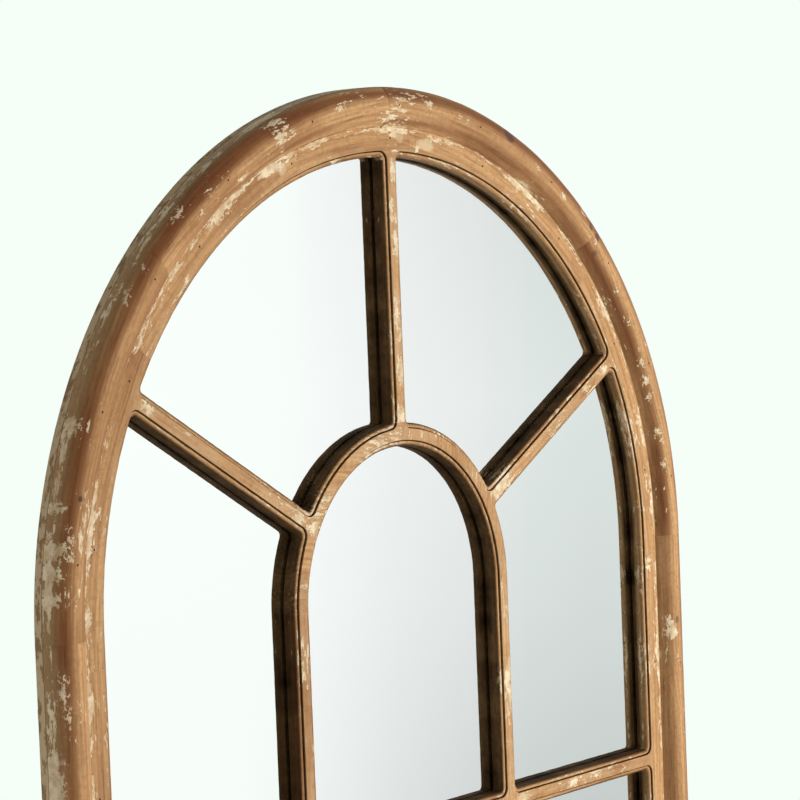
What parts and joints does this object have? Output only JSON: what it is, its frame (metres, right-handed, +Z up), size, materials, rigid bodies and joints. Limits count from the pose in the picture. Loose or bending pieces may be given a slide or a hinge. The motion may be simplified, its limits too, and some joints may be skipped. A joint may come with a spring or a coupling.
{
  "type": "arched window mirror",
  "caption": "Round-headed window sash in aged pine with glazing bars, laid over one sheet of mirror glass in a half-round moulding, hung from two D-rings.",
  "frame": {"origin": "bottom centre of the whole mirror's bounding box: middle of the width, middle of the depth, floor line", "axes": "+Z up, -Y the mirror side that faces the room, +Y towards the wall, +X to the right of someone who looks into the mirror"},
  "size_m": [0.9, 0.0372, 1.8],
  "materials": {
    "aged_pine_bead": "reclaimed pine, brown stain worn back, old cream paint left in flakes",
    "aged_pine_sash": "reclaimed pine, brown stain, cream paint left along the edges",
    "aged_pine_bars": "reclaimed pine, brown stain, dark inner walls",
    "back_frame_pine": "sawn boards, grey-brown stain",
    "mirror_glass": "clear silvered float glass, polished",
    "hardboard": "brown hardboard, smooth side out",
    "nail_steel": "dull finishing nails, heads sunk",
    "screw_steel": "zinc-plated pan heads",
    "hanger_steel": "zinc-plated strip and wire",
    "bumper_rubber": "soft black rubber, matt"
  },
  "bodies": {
    "frame": {"bead_stile_left": "aged_pine_bead", "bead_stile_right": "aged_pine_bead", "bead_bottom": "aged_pine_bead", "bead_arch_1": "aged_pine_bead", "bead_arch_2": "aged_pine_bead", "bead_arch_3": "aged_pine_bead", "bead_arch_4": "aged_pine_bead", "sash_stile_left": "aged_pine_sash", "sash_stile_right": "aged_pine_sash", "sash_bottom_rail": "aged_pine_sash", "sash_arch_1": "aged_pine_sash", "sash_arch_2": "aged_pine_sash", "sash_arch_3": "aged_pine_sash", "sash_arch_4": "aged_pine_sash", "sash_arch_5": "aged_pine_sash", "upright_left": "aged_pine_bars", "upright_right": "aged_pine_bars", "inner_arch_left": "aged_pine_bars", "inner_arch_right": "aged_pine_bars", "spoke_left": "aged_pine_bars", "spoke_right": "aged_pine_bars", "spoke_top": "aged_pine_bars", "bar_left_1": "aged_pine_bars", "bar_middle_1": "aged_pine_bars", "bar_right_1": "aged_pine_bars", "bar_left_2": "aged_pine_bars", "bar_middle_2": "aged_pine_bars", "bar_right_2": "aged_pine_bars", "bar_left_3": "aged_pine_bars", "bar_middle_3": "aged_pine_bars", "bar_right_3": "aged_pine_bars", "back_stile_left": "back_frame_pine", "back_stile_right": "back_frame_pine", "back_bottom": "back_frame_pine", "back_arch_left": "back_frame_pine", "back_arch_right": "back_frame_pine", "back_arch_crown": "back_frame_pine", "mirror_sheet": "mirror_glass", "backboard": "hardboard", "bead_nails": "nail_steel", "sash_nails": "nail_steel", "backboard_screws": "screw_steel", "hanger_screws_left": "screw_steel", "hanger_screws_right": "screw_steel", "hanger_strap_left": "hanger_steel", "hanger_strap_right": "hanger_steel", "bumper_lower_left": "bumper_rubber", "bumper_lower_right": "bumper_rubber", "bumper_upper_left": "bumper_rubber", "bumper_upper_right": "bumper_rubber"},
    "ring_left": {"hanger_ring_left": "hanger_steel"},
    "ring_right": {"hanger_ring_right": "hanger_steel"}
  },
  "joints": [
    {"name": "ring_left_swing", "type": "hinge", "parent": "frame", "child": "ring_left", "pos_m": [-0.434, 0.01455, 1.3], "axis": [1, 0, 0], "range_deg": [0, 180]},
    {"name": "ring_right_swing", "type": "hinge", "parent": "frame", "child": "ring_right", "pos_m": [0.434, 0.01455, 1.3], "axis": [1, 0, 0], "range_deg": [0, 180]}
  ]
}
